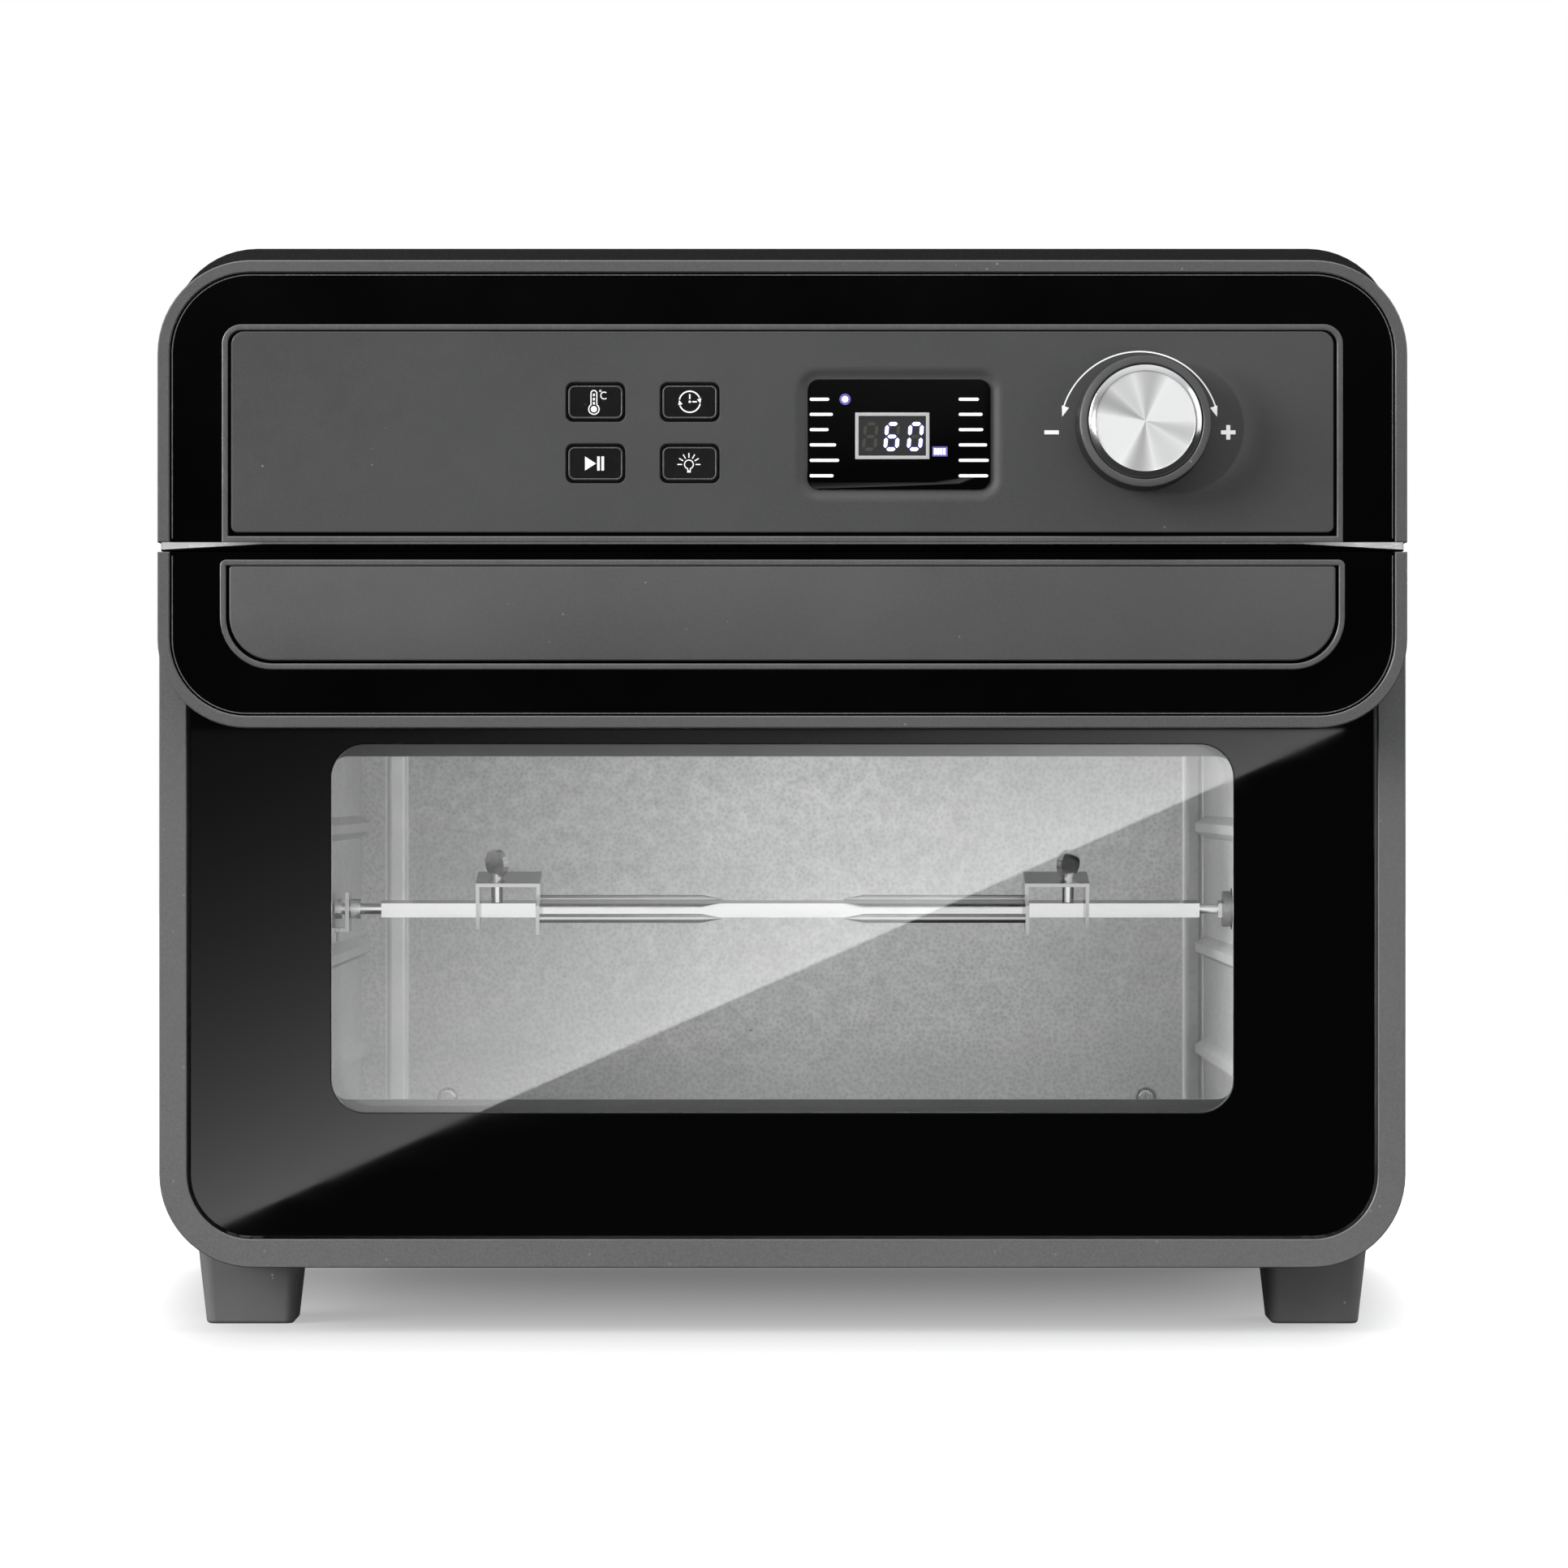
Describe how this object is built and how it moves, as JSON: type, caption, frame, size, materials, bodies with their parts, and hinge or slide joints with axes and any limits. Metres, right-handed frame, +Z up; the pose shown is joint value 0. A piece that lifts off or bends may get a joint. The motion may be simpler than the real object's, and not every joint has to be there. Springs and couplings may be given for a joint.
{
  "type": "air fryer oven",
  "caption": "Countertop air fryer oven with a drop-down glass door, full-width handle bar, control panel with keys, display and dial, and a rotisserie spit inside.",
  "frame": {"origin": "middle of the footprint, on the plane of the feet", "axes": "+Z up, -Y out of the door and +X to the right as seen from the front"},
  "size_m": [0.384, 0.365, 0.3368],
  "materials": {
    "black_sheet": "satin powder coat",
    "oven_sheet": "mottled aluminised steel",
    "enamel": "non-stick coat",
    "grey_shell": "satin metallic grey",
    "gloss_black": "high gloss",
    "inlay_grey": "fine satin",
    "inlay_edge": "bright satin",
    "door_glass": "tinted tempered glass, black printed border",
    "clear_glass": "clear tempered glass",
    "display_glass": "smoked lens",
    "led_black": "smoked module with white segments",
    "silicone": "matt",
    "feet_plastic": "satin",
    "gland_plastic": "matt",
    "switch_plastic": "matt",
    "knob_black": "satin black",
    "spun_aluminium": "spun",
    "button_black": "gloss with white icon",
    "board_green": "solder mask",
    "heater_sheath": "heat-darkened steel tube",
    "bare_steel": "zinc plated",
    "screw_steel": "plated",
    "spit_steel": "polished stainless",
    "socket_steel": "dull steel",
    "motor_steel": "plain steel can",
    "fan_metal": "stamped",
    "lamp_ceramic": "unglazed"
  },
  "bodies": {
    "body": {"base_pan": "black_sheet", "body_screws": "screw_steel", "cavity_back_wall": "oven_sheet", "cavity_floor": "oven_sheet", "cavity_wrapper": "oven_sheet", "control_bezel": "gloss_black", "control_board": "board_green", "control_frame": "grey_shell", "control_panel": "inlay_grey", "cord_gland": "gland_plastic", "crumb_tray": "enamel", "display_lens": "display_glass", "door_switch": "switch_plastic", "fan_cover": "oven_sheet", "fan_motor": "motor_steel", "feet": "feet_plastic", "front_plate": "black_sheet", "heat_shield": "oven_sheet", "hinge_brackets": "bare_steel", "housing_wrap": "black_sheet", "lamp_bulb": "clear_glass", "lamp_cover": "clear_glass", "lamp_holder": "lamp_ceramic", "led_display": "led_black", "lower_heater": "heater_sheath", "panel_trim": "inlay_edge", "power_board": "board_green", "rear_panel": "black_sheet", "rotisserie_motor": "motor_steel", "spit_bracket": "bare_steel", "temperature_sensor": "bare_steel", "thermal_cutout": "switch_plastic", "trim_strip": "inlay_edge", "upper_heater": "heater_sheath"},
    "door": {"door_frame": "grey_shell", "door_glass": "door_glass", "door_liner": "oven_sheet", "inner_glass": "clear_glass", "door_seal": "silicone", "handle_rim": "grey_shell", "handle_core": "gloss_black", "handle_trim": "inlay_edge", "handle_panel": "inlay_grey", "handle_screws": "screw_steel", "hinge_pins": "bare_steel"},
    "knob": {"knob_body": "knob_black", "knob_cap": "spun_aluminium"},
    "temperature_button": {"button_temperature": "button_black"},
    "timer_button": {"button_timer": "button_black"},
    "play_button": {"button_play": "button_black"},
    "light_button": {"button_light": "button_black"},
    "convection_fan": {"fan_shaft": "bare_steel", "fan_blade": "fan_metal", "cooling_fan": "fan_metal"},
    "spit": {"spit_rod": "spit_steel", "drive_socket": "socket_steel"},
    "left_meat_fork": {"left_fork": "spit_steel"},
    "right_meat_fork": {"right_fork": "spit_steel"},
    "left_clamp_screw": {"left_thumb_screw": "spit_steel"},
    "right_clamp_screw": {"right_thumb_screw": "spit_steel"}
  },
  "joints": [
    {"name": "door_hinge", "type": "hinge", "parent": "body", "child": "door", "pos_m": [0, -0.1335, 0.0296], "axis": [1, 0, 0], "range_deg": [0, 85]},
    {"name": "knob_turn", "type": "hinge", "parent": "body", "child": "knob", "pos_m": [0.1096, -0.175, 0.2792], "axis": [0, -1, 0], "continuous": true},
    {"name": "temperature_press", "type": "slide", "parent": "body", "child": "temperature_button", "axis": [0, 1, 0], "range_m": [0, 0.0008], "stiffness_N_per_m": 400, "springref_m": -0.001},
    {"name": "timer_press", "type": "slide", "parent": "body", "child": "timer_button", "axis": [0, 1, 0], "range_m": [0, 0.0008], "stiffness_N_per_m": 400, "springref_m": -0.001},
    {"name": "play_press", "type": "slide", "parent": "body", "child": "play_button", "axis": [0, 1, 0], "range_m": [0, 0.0008], "stiffness_N_per_m": 400, "springref_m": -0.001},
    {"name": "light_press", "type": "slide", "parent": "body", "child": "light_button", "axis": [0, 1, 0], "range_m": [0, 0.0008], "stiffness_N_per_m": 400, "springref_m": -0.001},
    {"name": "fan_spin", "type": "hinge", "parent": "body", "child": "convection_fan", "pos_m": [0, 0.02, 0.25], "axis": [0, 0, 1], "continuous": true},
    {"name": "spit_turn", "type": "hinge", "parent": "body", "child": "spit", "pos_m": [0, 0.02, 0.1279], "axis": [1, 0, 0], "continuous": true},
    {"name": "left_fork_slide", "type": "slide", "parent": "spit", "child": "left_meat_fork", "axis": [1, 0, 0], "range_m": [-0.03, 0.015]},
    {"name": "right_fork_slide", "type": "slide", "parent": "spit", "child": "right_meat_fork", "axis": [1, 0, 0], "range_m": [-0.015, 0.03]},
    {"name": "left_clamp_turn", "type": "hinge", "parent": "left_meat_fork", "child": "left_clamp_screw", "pos_m": [-0.0953, 0.01748, 0.13974], "axis": [0, -0.2079, 0.9781], "range_deg": [0, 360]},
    {"name": "right_clamp_turn", "type": "hinge", "parent": "right_meat_fork", "child": "right_clamp_screw", "pos_m": [0.0953, 0.01748, 0.13974], "axis": [0, -0.2079, 0.9781], "range_deg": [0, 360]}
  ]
}
